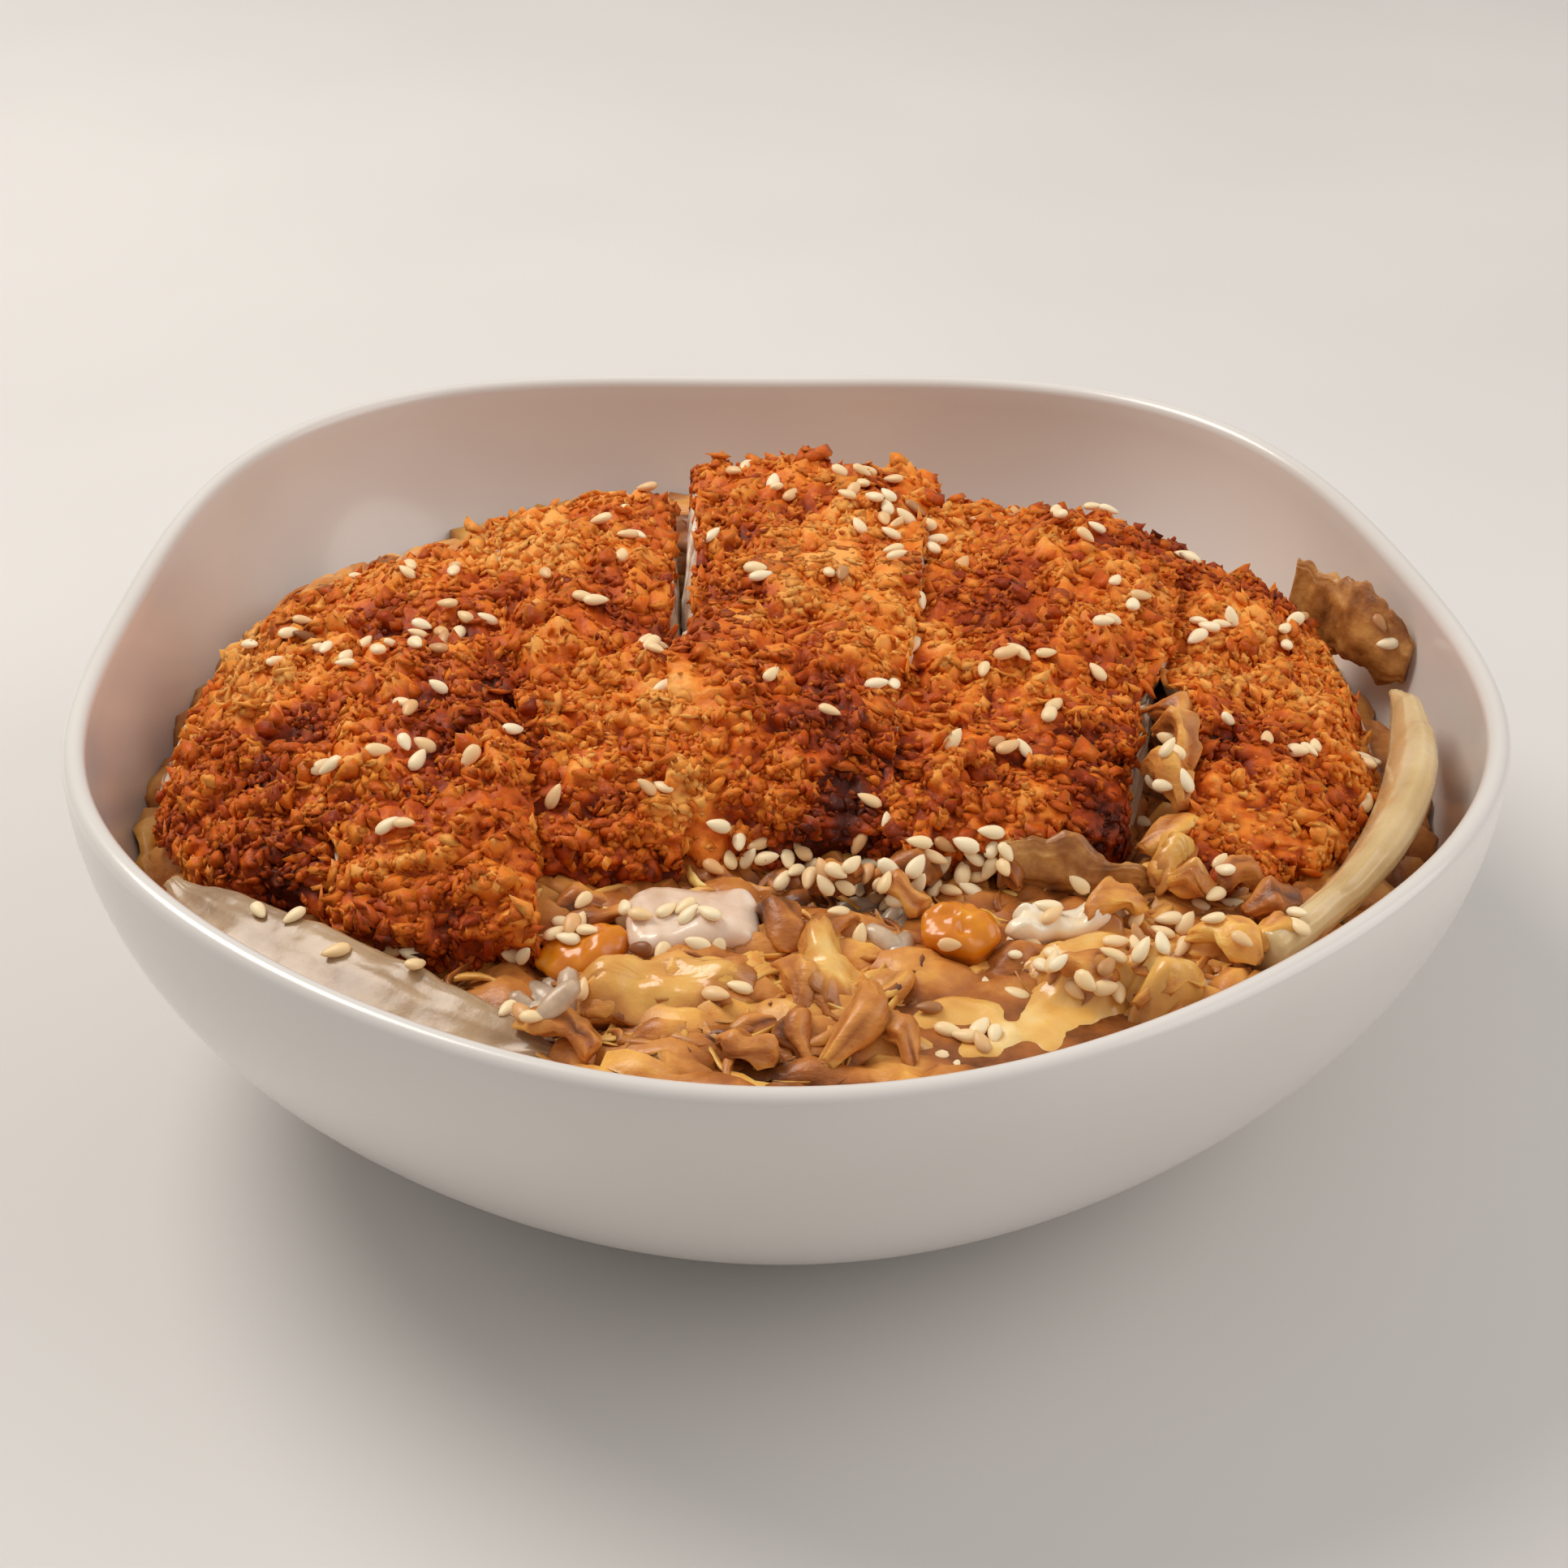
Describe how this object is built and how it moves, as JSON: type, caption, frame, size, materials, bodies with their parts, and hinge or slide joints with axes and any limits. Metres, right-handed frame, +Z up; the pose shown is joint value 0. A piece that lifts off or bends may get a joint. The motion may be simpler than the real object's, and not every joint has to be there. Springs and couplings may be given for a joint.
{
  "type": "rice bowl dish",
  "caption": "Breaded pork cutlet cut in strips with simmered egg, onion and sesame over rice, in a soft-cornered white bowl.",
  "frame": {"origin": "on the table under the middle of the bowl's outline", "axes": "+Z up, +X to the right of the dish and +Y to its back, as the picture is taken from -Y"},
  "size_m": [0.1814, 0.193, 0.0638],
  "materials": {
    "white_glaze": "glossy white glazed porcelain",
    "steamed_rice": "moist steamed rice, faintly stained by the broth",
    "simmered_egg": "wet, tan to brown simmered egg and onion",
    "panko_crust": "fried breadcrumb crust, golden to deep brown, with pale pork at the cuts",
    "cooked_onion": "translucent cooked onion",
    "brown_flake": "wet brown simmered flake",
    "egg_yolk": "glossy orange-yellow yolk",
    "egg_white": "soft set egg white",
    "soft_egg": "creamy yellow half-set egg"
  },
  "bodies": {
    "root": {"bowl": "white_glaze", "rice": "steamed_rice", "simmered_egg": "simmered_egg", "onion_left": "cooked_onion", "onion_right": "cooked_onion", "onion_chunk": "cooked_onion", "brown_flake_back": "brown_flake", "brown_flake_front": "brown_flake", "egg_yolk_left": "egg_yolk", "egg_yolk_right": "egg_yolk", "egg_white": "egg_white", "egg_sheet": "soft_egg", "cutlet_strip_1": "panko_crust", "cutlet_strip_2": "panko_crust", "cutlet_strip_3": "panko_crust", "cutlet_strip_4": "panko_crust", "cutlet_strip_5": "panko_crust", "cutlet_strip_6": "panko_crust"}
  },
  "joints": []
}
